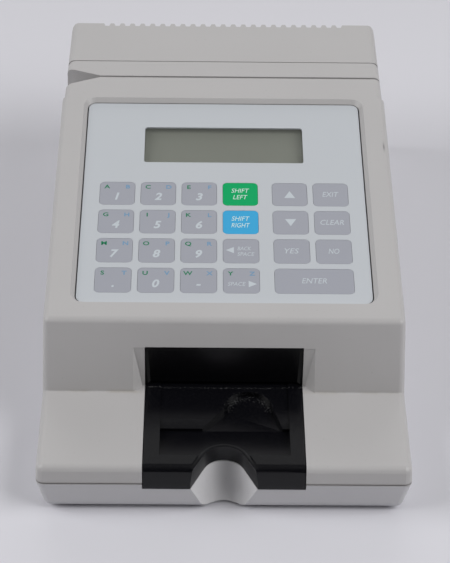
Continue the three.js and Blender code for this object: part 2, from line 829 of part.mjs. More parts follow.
// Electromagnet under the heater: a flanged core on the base, and its winding
const coreY = heaterY + heaterLength / 2;
const baseFloorZ = footHeight + wall;
const coreUnderZ = baseFloorZ + meshGap;
const coreTopZ = shelfZ - deckDepth - heaterThickness - meshGap;
function magnetCore() {
  const flangeTop = coreUnderZ + flangeThickness;
  return turned([
    [0, coreUnderZ],
    [coilRadius, coreUnderZ],
    [coilRadius, flangeTop],
    [coreRadius, flangeTop],
    [coreRadius, coreTopZ],
    [0, coreTopZ],
  ]).translate(bedShift, coreY, 0);
}

function magnetCoil() {
  const low = coreUnderZ + flangeThickness + meshGap;
  const inner = coreRadius + meshGap;
  return turned([
    [inner, low],
    [coilRadius, low],
    [coilRadius, low + coilHeight],
    [inner, low + coilHeight],
    [inner, low],
  ]).translate(bedShift, coreY, 0);
}

// Optics over the card path: a head under a bracket that stands on the tray's sides
const opticsUnderZ = shelfZ + opticsLift;
const opticsTopZ = opticsUnderZ + opticsHeight;
function opticsBracket() {
  const low = shelfZ + meshGap;
  const under = opticsTopZ + meshGap;
  const high = under + bracketThickness;
  return lengthways([
    [bedLeft - bracketThickness, low],
    [bedLeft, low],
    [bedLeft, under],
    [bedRight, under],
    [bedRight, low],
    [bedRight + bracketThickness, low],
    [bedRight + bracketThickness, high],
    [bedLeft - bracketThickness, high],
  ], coreY - opticsLength / 2, coreY + opticsLength / 2);
}

function opticsHead() {
  const body = solid(block(
    [bedShift - opticsWidth / 2, bedShift + opticsWidth / 2],
    [coreY - opticsLength / 2, coreY + opticsLength / 2],
    [opticsUnderZ, opticsTopZ],
  ));
  return body.add(solid(post(bedShift, coreY, opticsUnderZ - lensReach, opticsUnderZ + lensReach, coreRadius)));
}

// Bridge: the strip behind the swipe slot, with the slot's rear wall and floor
function slotBridge() {
  const band = (front, rear, high) => solid(block([-far, far], [front, rear], [-far, high]));
  const toeFront = slotFrontY + seamGap;
  const halfEnd = halfRear - drawIn(bridgeRearY);
  const plan = upright(filleted([
    [-halfEnd, toeFront - far],
    [halfEnd, toeFront - far],
    [halfEnd, bridgeRearY, bridgeCornerRadius],
    [-halfEnd, bridgeRearY, bridgeCornerRadius],
  ]), -far, far);
  const flare = solid(upright([
    [-halfRear + flareLength, slotRearY],
    [-halfRear - cutOverrun, slotRearY + flareRear * (1 + cutOverrun / flareLength)],
    [-far, slotRearY - cutOverrun],
    [-halfRear + flareLength, slotRearY - cutOverrun],
  ], -far, far));
  const wholeHeight = band(slotRearY, bridgeRearY, far).subtract(flare);
  const outer = outerCase
    .intersect(wholeHeight.add(band(toeFront, bridgeRearY, slotFloorZ)))
    .intersect(solid(plan));
  const inner = innerCase.intersect(
    band(slotRearY + wall, bridgeRearY - wall, far)
      .add(band(toeFront + wall, bridgeRearY - wall, slotFloorZ - wall)),
  );
  const beyondFlare = solid(block([-halfRear + flareLength + wall, far], [-far, far], [slotFloorZ - wall, far]));
  const underSlot = solid(block([-far, far], [-far, far], [-far, slotFloorZ - wall]));
  const headWindow = solid(block(
    [headFromMiddle - headWidth / 2 - meshGap, headFromMiddle + headWidth / 2 + meshGap],
    [slotRearY - cutOverrun, slotRearY + wall + cutOverrun / 2],
    [headMiddleZ - headHeight / 2 - meshGap, headMiddleZ + headHeight / 2 + meshGap],
  ));
  return outer
    .subtract(inner.intersect(beyondFlare.add(underSlot)))
    .subtract(headWindow)
    .add(solid(springSeat(-1)))
    .add(solid(springSeat(1)));
}

// Magnetic read head, and the leaf spring that presses it into the slot
const headMiddleZ = slotFloorZ + slotDepth / 2;
const headFrontY = slotRearY - headReach;
const springY = headFrontY + headLength + meshGap;
function springSeat(side) {
  const middle = headFromMiddle + side * (headSpringLength / 2 - wall / 2);
  return block(
    [middle - wall / 2, middle + wall / 2],
    [slotRearY + wall / 2, springY - meshGap],
    [headMiddleZ - headHeight / 2, headMiddleZ + headHeight / 2],
  );
}

function readHead() {
  const outline = rounded(
    headFromMiddle - headWidth / 2,
    headFromMiddle + headWidth / 2,
    headFrontY,
    headFrontY + headLength,
  );
  const nose = headReach;
  const [frontLeft, frontRight, ...back] = outline;
  const shaped = [
    [frontLeft[0], frontLeft[1] + nose],
    [frontLeft[0] + wall, frontLeft[1]],
    [frontRight[0] - wall, frontRight[1]],
    [frontRight[0], frontRight[1] + nose],
    ...back,
  ];
  return upright(shaped, headMiddleZ - headHeight / 2, headMiddleZ + headHeight / 2);
}

function headSpring() {
  return block(
    [headFromMiddle - headSpringLength / 2, headFromMiddle + headSpringLength / 2],
    [springY, springY + headSpringThickness],
    [headMiddleZ - headHeight / 2, headMiddleZ + headHeight / 2],
  );
}

// Rear cover: vent grooves down its rear face, each with a slot through the wall, and
// openings for the switch and the connectors
const portZ = seamZ + portHeight;
const rockerX = screwX - rockerFromScrew;
const inletX = rockerX - inletFromRocker;
const serialX = inletX - serialFromInlet;
function rearCover() {
  const frontEdgeY = bridgeRearY + seamGap;
  const behind = solid(block([-far, far], [frontEdgeY, far], [-far, far]));
  const inside = solid(block([-far, far], [-far, rearY - rearWall], [-far, far]));
  let body = outerCase.intersect(behind).subtract(innerCase.intersect(inside));
  for (const [, x, y] of screws.slice(4)) {
    const web = block([x - wall / 2, x + wall / 2], [y, rearY - rearWall / 2], [bossUnderZ, portZ]);
    body = body.add(boss(x, y, portZ)).add(solid(web)).subtract(pilot(x, y));
  }
  const ventTopZ = panelAt(rearY);
  const ventCount = Math.round((2 * (halfRear - ventFromSide)) / ventPitch);
  for (let index = 0; index < ventCount; index += 1) {
    const x = (index - (ventCount - 1) / 2) * ventPitch;
    const groove = upright([
      [x - ventRoot / 2, rearY - ventDepth],
      [x + ventRoot / 2, rearY - ventDepth],
      [x + ventMouth / 2, rearY],
      [x + ventMouth / 2, rearY + cutOverrun],
      [x - ventMouth / 2, rearY + cutOverrun],
      [x - ventMouth / 2, rearY],
    ], ventTopZ - ventHeight, far);
    const slot = block(
      [x - ventSlotWidth / 2, x + ventSlotWidth / 2],
      [rearY - rearWall - cutOverrun, rearY],
      [ventTopZ - ventHeight + ventDepth, ventTopZ - ventHeight + ventDepth + ventSlotHeight],
    );
    body = body.subtract(solid(groove)).subtract(solid(slot));
  }
  const through = ([left, right], [low, high], front = rearY - rearWall - cutOverrun) =>
    solid(block([left, right], [front, rearY + cutOverrun], [low, high]));
  const about = (middle, size) => [middle - size / 2 - meshGap, middle + size / 2 + meshGap];
  body = body.subtract(through(about(rockerX, rockerWidth), about(portZ, rockerHeight)));
  body = body.subtract(through(about(inletX, inletSize), about(portZ, inletSize)));
  return body.subtract(solid(lengthways(serialShell(meshGap), rearY - rearWall - cutOverrun, rearY + cutOverrun)));
}

// Serial connector: a flanged body inside the rear wall, its shell through the wall
function serialShell(grow) {
  const half = serialShellWidth / 2 + grow;
  const tall = serialShellHeight / 2 + grow;
  const short = half - serialShellHeight * Math.tan(serialSlant);
  return filleted([
    [serialX - short, portZ - tall, serialShellRadius],
    [serialX + short, portZ - tall, serialShellRadius],
    [serialX + half, portZ + tall, serialShellRadius],
    [serialX - half, portZ + tall, serialShellRadius],
  ]);
}

function serialPort() {
  const wallY = rearY - rearWall - meshGap;
  const flange = solid(block(
    [serialX - serialWidth / 2, serialX + serialWidth / 2],
    [wallY - flangeThickness, wallY],
    [portZ - serialHeight / 2, portZ + serialHeight / 2],
  ));
  const shell = solid(lengthways(serialShell(0), wallY - serialDepth, rearY - meshGap));
  const mouth = solid(lengthways(serialShell(-flangeThickness / 2), wallY, rearY + cutOverrun));
  const insert = solid(lengthways(serialShell(-flangeThickness), wallY - flangeThickness, rearY - flangeThickness));
  return flange.add(shell).subtract(mouth).add(insert);
}

// Power switch: a frame through the rear wall and a rocker on two stub pins
const rockerPivotY = rearY - rockerPivotDepth;
const rockerHalf = rockerHeight / 2 - rockerRim - rockerGap;
function rockerFrame() {
  const outer = solid(block(
    [rockerX - rockerWidth / 2, rockerX + rockerWidth / 2],
    [rearY - rockerDepth, rearY - meshGap],
    [portZ - rockerHeight / 2, portZ + rockerHeight / 2],
  ));
  const inner = solid(block(
    [rockerX - rockerWidth / 2 + rockerRim, rockerX + rockerWidth / 2 - rockerRim],
    [rearY - rockerDepth + rockerRim, rearY + cutOverrun],
    [portZ - rockerHeight / 2 + rockerRim, portZ + rockerHeight / 2 - rockerRim],
  ));
  const pinLength = rockerWidth - rockerRim + 2 * meshGap;
  return outer.subtract(inner).subtract(solid(rockerPin(pinLength, rockerPinRadius + meshGap)));
}

function rockerPin(length, radius) {
  return new THREE.CylinderGeometry(radius, radius, length, roundSides)
    .rotateZ(Math.PI / 2)
    .translate(rockerX, rockerPivotY, portZ);
}

function powerRocker() {
  const half = (rockerWidth - 2 * rockerRim) / 2 - meshGap;
  const rise = rockerHalf * Math.tan(rockerTilt);
  const face = rockerPivotDepth - meshGap - 2 * rise;
  const outline = [
    [-rockerBack, -rockerHalf + rockerBack / 2],
    [face + rise, -rockerHalf],
    [face, 0],
    [face + rise, rockerHalf],
    [-rockerBack, rockerHalf - rockerBack / 2],
  ].reverse();
  const cap = sideways(outline, rockerX - half, rockerX + half)
    .rotateX(-rockerTilt)
    .translate(0, rockerPivotY, portZ);
  return solid(cap).add(solid(rockerPin(rockerWidth - rockerRim, rockerPinRadius)));
}

// Power inlet: a block with a round bore and a centre pin
function powerInlet() {
  const frontY = rearY - inletDepth;
  const bore = (radius, front, rear) =>
    new THREE.CylinderGeometry(radius, radius, rear - front, roundSides)
      .translate(inletX, (front + rear) / 2, portZ);
  const body = solid(block(
    [inletX - inletSize / 2, inletX + inletSize / 2],
    [frontY, rearY - meshGap],
    [portZ - inletSize / 2, portZ + inletSize / 2],
  ));
  return body
    .subtract(solid(bore(inletBore / 2, frontY + rockerRim, rearY + cutOverrun)))
    .add(solid(bore(inletPin / 2, frontY + rockerRim / 2, rearY - rockerRim)));
}

// Base: a shallow tray whose walls lean in downwards, with the thumb scoop at the front
const baseTopZ = seamZ - seamGap / 2;
function basePlan(insetSide, insetEnd) {
  const wide = halfCase - insetSide;
  const narrow = halfRear - insetSide;
  const rearHalf = narrow - rearTaper;
  return filleted([
    [-wide, frontY + insetEnd, edgeRadius],
    [wide, frontY + insetEnd, edgeRadius],
    [wide, stepY],
    [narrow, stepY],
    [rearHalf, rearY - insetEnd, edgeRadius],
    [-rearHalf, rearY - insetEnd, edgeRadius],
    [-narrow, stepY],
    [-wide, stepY],
  ]);
}

function baseHousing() {
  const turnIn = Array.from({ length: roundingSteps + 1 }, (_, step) => {
    const angle = (Math.PI / 2) * (step / roundingSteps);
    const inset = baseRadius * (1 - Math.cos(angle));
    return [footHeight + baseRadius * (1 - Math.sin(angle)), basePlan(baseSideLean + inset, baseEndLean + inset)];
  }).reverse();
  const outer = solid(stacked([...turnIn, [baseTopZ, basePlan(0, 0)]]));
  const inner = solid(stacked([
    [baseFloorZ, basePlan(baseSideLean + wall + baseRadius / 2, baseEndLean + wall + baseRadius / 2)],
    [footHeight + baseRadius, basePlan(baseSideLean + wall, baseEndLean + wall)],
    [seamZ + cutOverrun, basePlan(wall, wall)],
  ]));
  let body = outer.subtract(inner);

  // Thumb scoop: the tray's notch carried down and forward to the underside
  const drop = trayUnderZ - footHeight;
  const scoop = (grow, low, high) => solid(stacked([low, high].map((z) => [
    z,
    notchOutline(grow, (scoopLean * (trayUnderZ - z)) / drop),
  ])));
  const lipZ = trayUnderZ - meshGap;
  body = body.add(scoop(wall, footHeight, lipZ).intersect(outer));
  const inFront = (high) => solid(block(
    [-halfTray - meshGap, halfTray + meshGap],
    [-far, notchWallY + meshGap],
    [high, far],
  ));
  body = body.subtract(inFront(lipZ)).subtract(scoop(0, footHeight - cutOverrun, seamZ));

  // Ribs under the tray and posts under the board
  for (const side of [-1, 1]) {
    const x = side * (halfTray - trayRibFromSide);
    body = body.add(solid(block(
      [x - wall / 2, x + wall / 2],
      [notchWallY + trayRibFromSide, trayRearY],
      [baseFloorZ - wall / 2, trayFloorUnderZ - meshGap],
    )));
    for (const y of [boardFrontY + boardPostInset, boardRearY - boardPostInset]) {
      const postX = side * (boardWidth / 2 - boardPostInset);
      body = body.add(solid(post(postX, y, baseFloorZ - wall / 2, boardUnderZ - meshGap, bossWall + meshGap)));
    }
  }

  // Battery bay: a low wall round the pack, and an opening with a seat for its hatch
  body = body
    .add(solid(upright(bay(meshGap + wall), footHeight, bayFloorZ + batteryHeight / 2)))
    .subtract(solid(upright(bay(meshGap), bayFloorZ, far)))
    .subtract(solid(upright(bay(-hatchMargin), -far, far)))
    .subtract(solid(upright(bay(meshGap), -far, hatchTopZ + meshGap)));

  // Screw bosses with their counterbores, and the seats of the feet
  for (const [, x, y] of screws) {
    const seat = screwZ + screwHeadHeight + meshGap;
    const tube = solid(post(x, y, footHeight, baseTopZ, screwTubeRadius));
    body = body.add(tube.intersect(outer));
    body = body.subtract(solid(post(x, y, -far, seat, screwHeadRadius + meshGap)));
    body = body.subtract(solid(post(x, y, 0, seamZ, screwRadius + meshGap)));
  }
  for (const [, x, y] of feet) {
    body = body.subtract(solid(post(x, y, -far, padHeight + meshGap, padRadius + meshGap)));
  }
  return body;
}

// Feet, screws, board, battery and hatch
const footX = halfCase - padFromSide;
const feet = [
  ['foot_front_left', -footX, frontY + padFromEnd],
  ['foot_front_right', footX, frontY + padFromEnd],
  ['foot_rear_left', -footX, rearY - padFromRear],
  ['foot_rear_right', footX, rearY - padFromRear],
];

const foot = () => turned([
  [0, 0],
  [padRadius - footHeight / 2, 0],
  [padRadius, footHeight / 2],
  [padRadius, padHeight],
  [0, padHeight],
]);

const screw = () => turned([
  [0, 0],
  [screwHeadRadius, 0],
  [screwHeadRadius, screwHeadHeight],
  [screwRadius, screwHeadHeight],
  [screwRadius, screwHeadHeight + screwLength],
  [0, screwHeadHeight + screwLength],
]);

const batteryFrontY = rearY - batteryFromRear - batteryLength;
const boardFrontY = trayRearY + boardBehindTray;
const boardRearY = batteryFrontY - boardBeforeBattery;
const boardWidth = 2 * (screwX - screwTubeRadius - boardFromScrews);
const boardUnderZ = baseFloorZ + boardLift;
function mainBoard() {
  return upright(
    rounded(-boardWidth / 2, boardWidth / 2, boardFrontY, boardRearY, bossWall),
    boardUnderZ,
    boardUnderZ + boardThickness,
  );
}

function processor() {
  const middleY = (boardFrontY + boardRearY) / 2;
  const low = boardUnderZ + boardThickness + meshGap;
  return upright(
    rounded(-chipSize / 2, chipSize / 2, middleY - chipSize / 2, middleY + chipSize / 2, bossWall),
    low,
    low + chipHeight,
  );
}

// Battery bay in the base, closed from below by a hatch. The pack is a row of round
// cells in one wrap.
const hatchTopZ = footHeight + hatchThickness;
const bayFloorZ = hatchTopZ + meshGap + bayLedge;
const bay = (grow) => rounded(
  -batteryWidth / 2 - grow,
  batteryWidth / 2 + grow,
  batteryFrontY - grow,
  batteryFrontY + batteryLength + grow,
);

function batteryPack() {
  const low = bayFloorZ + meshGap;
  const cells = Math.floor(batteryWidth / batteryHeight);
  const radius = batteryHeight / 2;
  const pitch = (batteryWidth - batteryHeight) / (cells - 1);
  let body = solid(block(
    [-batteryWidth / 2 + radius, batteryWidth / 2 - radius],
    [batteryFrontY, batteryFrontY + batteryLength],
    [low + radius / 2, low + radius * 2 - radius / 2],
  ));
  for (let index = 0; index < cells; index += 1) {
    const cell = new THREE.CylinderGeometry(radius, radius, batteryLength, roundSides)
      .translate((index - (cells - 1) / 2) * pitch, batteryFrontY + batteryLength / 2, low + radius);
    body = body.add(solid(cell));
  }
  return body;
}

function batteryHatch() {
  const plate = solid(upright(bay(0), footHeight, hatchTopZ));
  let body = plate.add(solid(upright(bay(-hatchMargin - meshGap), footHeight, bayFloorZ)));
  for (let index = 0; index < gripGrooveCount; index += 1) {
    const y = batteryFrontY + gripFromEdge + 2 * index * gripGrooveWidth;
    body = body.subtract(solid(block(
      [-gripGrooveLength / 2, gripGrooveLength / 2],
      [y, y + gripGrooveWidth],
      [-far, footHeight + gripGrooveDepth],
    )));
  }
  return body;
}

// The whole monitor
const monitor = new THREE.Group();
const panelGroup = new THREE.Group();
panelGroup.position.set(0, panelY, panelZ);
panelGroup.rotation.x = panelTilt;
monitor.add(panelGroup);

function place(name, shape, material, group = monitor) {
  const mesh = new THREE.Mesh(shape.isBufferGeometry ? shape : geometryOf(shape), material);
  mesh.name = name;
  group.add(mesh);
  return mesh;
}

place('base_housing', baseHousing(), basePlastic);
place('upper_housing', upperHousing(), upperPlastic);
place('swipe_bridge', slotBridge(), upperPlastic);
place('rear_cover', rearCover(), upperPlastic);

place('keypad_overlay', overlay(), overlayFilm, panelGroup);
place('switch_sheet', switchSheet(), clearPlastic, panelGroup);
place('display_window', displayWindow(), clearPlastic, panelGroup);
place('display_frame', displayFrame(), plainSteel, panelGroup);
place('display_glass', displayGlassPlate(), displayGlass, panelGroup);
place('display_board', displayBoard(), circuitGreen, panelGroup);
for (const key of keys) place(key.name, keyCap(key), key.colour, panelGroup);

place('card_tray', cardTray(), blackPlastic);
place('card_hood', cardHood(), blackPlastic);
place('heater_plate', heaterPlate(), aluminium);
place('magnet_core', magnetCore(), plainSteel);
place('magnet_coil', magnetCoil(), copper);
place('optics_bracket', opticsBracket(), aluminium);
place('optics_head', opticsHead(), blackPlastic);

place('read_head', readHead(), plainSteel);
place('head_spring', headSpring(), plainSteel);
place('serial_port', serialPort(), plainSteel);
place('rocker_frame', rockerFrame(), blackPlastic);
place('power_rocker', powerRocker(), blackPlastic);
place('power_inlet', powerInlet(), blackPlastic);

place('main_board', mainBoard(), circuitGreen);
place('processor', processor(), blackPlastic);
place('battery_pack', batteryPack(), cellWrap);
place('battery_hatch', batteryHatch(), basePlastic);
for (const [name, x, y] of screws) place(name, screw(), plainSteel).position.set(x, y, screwZ);
for (const [name, x, y] of feet) place(name, foot(), darkRubber).position.set(x, y, 0);

export default monitor;
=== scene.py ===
import json
import math

import bmesh
import bpy
import numpy as np
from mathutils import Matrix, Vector


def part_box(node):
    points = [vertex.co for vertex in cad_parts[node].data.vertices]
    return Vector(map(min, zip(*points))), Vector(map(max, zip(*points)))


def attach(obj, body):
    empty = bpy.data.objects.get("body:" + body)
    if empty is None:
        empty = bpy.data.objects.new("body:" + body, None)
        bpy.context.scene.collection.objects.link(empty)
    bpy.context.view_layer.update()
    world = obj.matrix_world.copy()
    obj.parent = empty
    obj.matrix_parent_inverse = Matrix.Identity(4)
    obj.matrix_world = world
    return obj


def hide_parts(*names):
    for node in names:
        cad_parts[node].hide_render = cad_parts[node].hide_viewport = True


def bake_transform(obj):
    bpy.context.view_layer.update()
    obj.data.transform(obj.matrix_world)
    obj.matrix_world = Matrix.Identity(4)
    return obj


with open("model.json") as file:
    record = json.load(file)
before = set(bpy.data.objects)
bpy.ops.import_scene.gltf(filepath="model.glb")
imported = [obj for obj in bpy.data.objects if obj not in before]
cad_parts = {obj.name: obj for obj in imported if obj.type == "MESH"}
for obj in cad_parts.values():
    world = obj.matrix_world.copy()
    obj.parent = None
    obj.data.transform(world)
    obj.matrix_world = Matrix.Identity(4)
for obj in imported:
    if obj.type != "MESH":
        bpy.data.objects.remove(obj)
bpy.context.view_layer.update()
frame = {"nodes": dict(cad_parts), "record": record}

nodes = frame["nodes"]


# Camera: it stands in front of the monitor and a little to its left, at eye height over a
# desk, and looks down on the keypad. Its turns are in degrees, its lens and film in plain
# millimetres.
mm = 0.001
camera_place = Vector((-10.6, -714.15, 615.5)) * mm
camera_turns = (49.995, -0.780, -0.280)
lens_length = 125.06
film_size = 36.0
nearest_view = 10 * mm


def added(name, data):
    """A new object that holds the data, put into the scene."""
    thing = bpy.data.objects.new(name, data)
    bpy.context.scene.collection.objects.link(thing)
    return thing


camera = added("camera", bpy.data.cameras.new("camera"))
camera.location = camera_place
camera.rotation_euler = [math.radians(turn) for turn in camera_turns]
camera.data.lens = lens_length
camera.data.sensor_width = film_size
camera.data.clip_start = nearest_view
bpy.context.scene.camera = camera


# Studio: a pale paper floor in a room that is dim in front and lighter behind, with a soft
# glow low behind the monitor. Two soft boxes stand high at its right and at its left, and
# the right one is a little stronger.
floor_reach = 3.0
floor_colour = (207.89, 207.15, 213.23)
floor_roughness = 0.9
room_span = (-0.9, 0.1)
room_strengths = (0.035, 0.21)
glow_way = Vector((0, 1, 0.12))
glow_strength = 3.3
glow_narrowness = 10
light_colour = (1.0, 1.0, 1.0, 1.0)
soft_box_size = 1.2
soft_boxes = [
    ("right soft box", Vector((1.2, -0.42, 1.18)), 21),
    ("left soft box", Vector((-1.4, -0.15, 1.05)), 18.5),
]
screen_full = 255
dark_limit = 0.04045
dark_slope = 12.92
curve_offset = 0.055
curve_power = 2.4


def linear(colour):
    """The linear shares of a colour written as a screen shows it, from 0 to 255. A dark share
    is divided by the dark slope, and any other goes along the power curve."""
    shares = np.array(colour) / screen_full
    curve_shares = ((shares + curve_offset) / (1 + curve_offset)) ** curve_power
    linear_shares = np.where(shares <= dark_limit, shares / dark_slope, curve_shares)
    return (*linear_shares.tolist(), 1.0)


def surface(name, colour, gloss=0.5, **sockets):
    """A new material of one shader, its plain values set on the shader's own sockets."""
    material = bpy.data.materials.new(name)
    material.use_nodes = True
    shader = material.node_tree.nodes["Principled BSDF"]
    shader.inputs["Base Color"].default_value = linear(colour)
    shader.inputs["Specular IOR Level"].default_value = gloss
    for socket, value in sockets.items():
        shader.inputs[socket.replace("_", " ").title()].default_value = value
    return material


def new_piece(name, points, faces, *materials):
    """A new piece from its points, its faces and what it is made of."""
    mesh = bpy.data.meshes.new(name)
    mesh.from_pydata(points, [], faces)
    for material in materials:
        mesh.materials.append(material)
    return added(name, mesh)


def fed(tree, kind, values, **settings):
    """A new node of a kind with its settings, and with its values set or linked."""
    node = tree.nodes.new("ShaderNode" + kind)
    for name, setting in settings.items():
        setattr(node, name, setting)
    for socket, value in values.items():
        if isinstance(value, bpy.types.NodeSocket):
            tree.links.new(value, node.inputs[socket])
        else:
            node.inputs[socket].default_value = value
    return node


def computed(tree, operation, *values):
    """The result of one operation on its values, in order."""
    return fed(tree, "Math", dict(enumerate(values)), operation=operation).outputs["Value"]


def combined(tree, operation, first, second):
    """The node of one operation on two places or ways."""
    return fed(tree, "VectorMath", {0: first, 1: second}, operation=operation)


def rescaled(tree, value, old_span, new_span, course="LINEAR"):
    """A value carried in proportion from one span to another, and held at its ends."""
    limits = dict(zip(("From Min", "From Max", "To Min", "To Max"), (*old_span, *new_span)))
    return fed(tree, "MapRange", {"Value": value, **limits},
               interpolation_type=course).outputs["Result"]


def axes_of(tree, place):
    """The three coordinates of a place or a way, under the names X, Y and Z."""
    return fed(tree, "SeparateXYZ", {"Vector": place}).outputs


corner_signs = [(-1, -1, 0), (1, -1, 0), (1, 1, 0), (-1, 1, 0)]
floor = new_piece("floor", np.array(corner_signs) * floor_reach, [[0, 1, 2, 3]],
                  surface("paper floor", floor_colour, roughness=floor_roughness))

world = bpy.data.worlds.new("dim room")
world.use_nodes = True
tree = world.node_tree
way = tree.nodes.new("ShaderNodeTexCoord").outputs["Generated"]
room = rescaled(tree, axes_of(tree, way)["Y"], room_span, room_strengths, "SMOOTHSTEP")
facing = combined(tree, "DOT_PRODUCT", way, glow_way.normalized()).outputs["Value"]
lobe = computed(tree, "POWER", computed(tree, "MAXIMUM", facing, 0), glow_narrowness)
background = tree.nodes["Background"]
background.inputs["Color"].default_value = light_colour
tree.links.new(computed(tree, "MULTIPLY_ADD", lobe, glow_strength, room),
               background.inputs["Strength"])
bpy.context.scene.world = world
bpy.context.scene.view_settings.view_transform = "Standard"

for name, place, power in soft_boxes:
    lamp = added(name, bpy.data.lights.new(name, "AREA"))
    lamp.location = place
    lamp.rotation_euler = (-place).to_track_quat("-Z", "Y").to_euler()
    lamp.data.size = soft_box_size
    lamp.data.energy = power


# Base: the lower shell and the lid under the battery, moulded in a cool grey plastic with a
# fine spark grain and a faint sheen. The seam under the upper case is darkened with painted
# shade for its dark gap, mixed with some grime, and faint specks of grime lie all over.
base_colour = (197, 196, 198)
case_coat = {"coat_weight": 0.3, "coat_roughness": 0.25}
case_grain = {
    "size": 0.35 * mm,
    "depth": 0.012 * mm,
    "mottle_size": 38 * mm,
    "mottle_share": 0.035,
    "roughness": (0.5, 0.62),
}
grain_detail = 2
mottle_detail = 4
speck_detail = 3
# One brown grey for the grime specks and for the painted shade in the seam.
grime_and_shade_colour = (88, 82, 74)
seam_height = 17.0 * mm
seam_reach = 0.55 * mm
seam_shade_and_grime_share = 0.62
spot_size = 1.6 * mm
spot_span = (0.68, 0.76)
spot_share = 0.1
base_edge = 0.25 * mm
lid_edge = 0.1 * mm
edge_segments = 2
merge_distance = 0.001 * mm
flat_angle = math.radians(1)
smooth_angle = math.radians(35)
slots = {part["node"]: part["material_slot"] for part in frame["record"]["subparts"]}
bodies = {node: body for body, members in frame["record"]["behaviour"]["bodies"].items()
          for node in members}


def on_piece(tree):
    """The place on the piece, in the frame that all pieces share."""
    return tree.nodes.new("ShaderNodeTexCoord").outputs["Object"]


def noise(tree, place, size, detail):
    """Noise from zero to one, its lumps about as wide as the size."""
    return fed(tree, "TexNoise", {"Vector": place, "Scale": 1 / size,
                                  "Detail": detail}).outputs["Fac"]


def mixed(tree, first, second, share):
    """The colour that lies by a share on the way from the first to the second."""
    return fed(tree, "Mix", {"A": first, "B": second, "Factor": share},
               data_type="RGBA").outputs["Result"]


def grained(material, size, depth, mottle_size, mottle_share, roughness):
    """Moulded grain: fine noise raises the surface by up to its depth, and broad noise shifts
    the shade by a share both ways and the roughness between two values."""
    tree = material.node_tree
    shader = tree.nodes["Principled BSDF"]
    place = on_piece(tree)
    fine = noise(tree, place, size, grain_detail)
    bump = fed(tree, "Bump", {"Distance": depth, "Height": fine})
    tree.links.new(bump.outputs["Normal"], shader.inputs["Normal"])
    broad = noise(tree, place, mottle_size, mottle_detail)
    plain = np.array(shader.inputs["Base Color"].default_value[:3])
    dark, light = ((*(plain * (1 + shift)), 1.0) for shift in (-mottle_share, mottle_share))
    tree.links.new(mixed(tree, dark, light, broad), shader.inputs["Base Color"])
    tree.links.new(rescaled(tree, broad, (0, 1), roughness), shader.inputs["Roughness"])
    return material


def product(tree, value, *factors):
    """A value times all its factors."""
    for factor in factors:
        value = computed(tree, "MULTIPLY", value, factor)
    return value


def near(tree, value, middle, reach):
    """A share that is one at the middle and falls off as a bell on both sides: e to the power
    of minus the square of how many reaches the value is off."""
    off = computed(tree, "DIVIDE", computed(tree, "SUBTRACT", value, middle), reach)
    return computed(tree, "EXPONENT", product(tree, off, off, -1))


def specks(tree, place, size, span):
    """Noise cut off below its span, so that only its peaks are left, as a share."""
    return rescaled(tree, noise(tree, place, size, speck_detail), span, (0, 1))


def overlaid(material, colour, *shares):
    """A colour laid over what colours the material so far, by all its shares multiplied."""
    tree = material.node_tree
    base = tree.nodes["Principled BSDF"].inputs["Base Color"]
    below = base.links[0].from_socket
    tree.links.new(mixed(tree, below, linear(colour), product(tree, *shares)), base)


def soiled_and_seam_shaded(material):
    """Painted shade and dark grime along the seam between base and upper case, and faint specks of
    grime all over.
    """
    tree = material.node_tree
    place = on_piece(tree)
    # The seam's darkening is painted shade for the dark gap between the parts, with some grime in
    # it.
    seam = near(tree, axes_of(tree, place)["Z"], seam_height, seam_reach)
    overlaid(material, grime_and_shade_colour, seam, seam_shade_and_grime_share)
    overlaid(material, grime_and_shade_colour, specks(tree, place, spot_size, spot_span), spot_share)
    return material


def made_whole(mesh):
    """The mesh's double points joined, and each flat face made of one polygon."""
    shape = bmesh.new()
    shape.from_mesh(mesh)
    bmesh.ops.remove_doubles(shape, verts=shape.verts, dist=merge_distance)
    bmesh.ops.dissolve_limit(shape, angle_limit=flat_angle, verts=shape.verts, edges=shape.edges)
    shape.to_mesh(mesh)
    shape.free()


def shaded(mesh):
    """Smooth shading over curves, with the edges sharper than the smooth angle kept."""
    mesh.polygons.foreach_set("use_smooth", np.ones(len(mesh.polygons), bool))
    mesh.set_sharp_from_angle(angle=smooth_angle)


def moulding(name, node, material, edge):
    """A copy of a solid that stands for it, its edges broken by a round of the given width."""
    mesh = nodes[node].data.copy()
    mesh.name = name
    made_whole(mesh)
    shaded(mesh)
    mesh.materials.clear()
    mesh.materials.append(material)
    piece = added(name, mesh)
    bevel = piece.modifiers.new("broken edges", "BEVEL")
    bevel.width = edge
    bevel.segments = edge_segments
    bevel.limit_method = "ANGLE"
    bevel.angle_limit = smooth_angle
    bevel.miter_outer = "MITER_ARC"
    even = piece.modifiers.new("flat faces", "WEIGHTED_NORMAL")
    even.keep_sharp = True
    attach(piece, bodies[node])
    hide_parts(node)
    return piece


base_plastic = soiled_and_seam_shaded(grained(surface("base grey plastic", base_colour, **case_coat), **case_grain))
moulding("base_shell", "base_housing", base_plastic, base_edge)
moulding("battery_lid", "battery_hatch", base_plastic, lid_edge)


# Upper case: the shelf, fascia and panel in one moulding, the bridge behind the swipe slot and
# the ribbed rear cover, all in a warmer light grey plastic with the base's grain. The corner of
# shelf and fascia is stained, and the panel's right edge has a rub mark.
upper_colour = (176, 174, 174)
upper_edge = 0.3 * mm
shelf_height = 24.6 * mm
fascia_foot = -85.9 * mm
corner_reach = 0.9 * mm
stain_colour = (140, 130, 108)
stain_size = 9 * mm
stain_span = (0.4, 0.65)
stain_share = 0.3
scuff_colour = (92, 90, 92)
scuff_across = 76.3 * mm
scuff_along = 41.0 * mm
scuff_width = 0.4 * mm
scuff_length = 2.6 * mm
scuff_share = 0.75


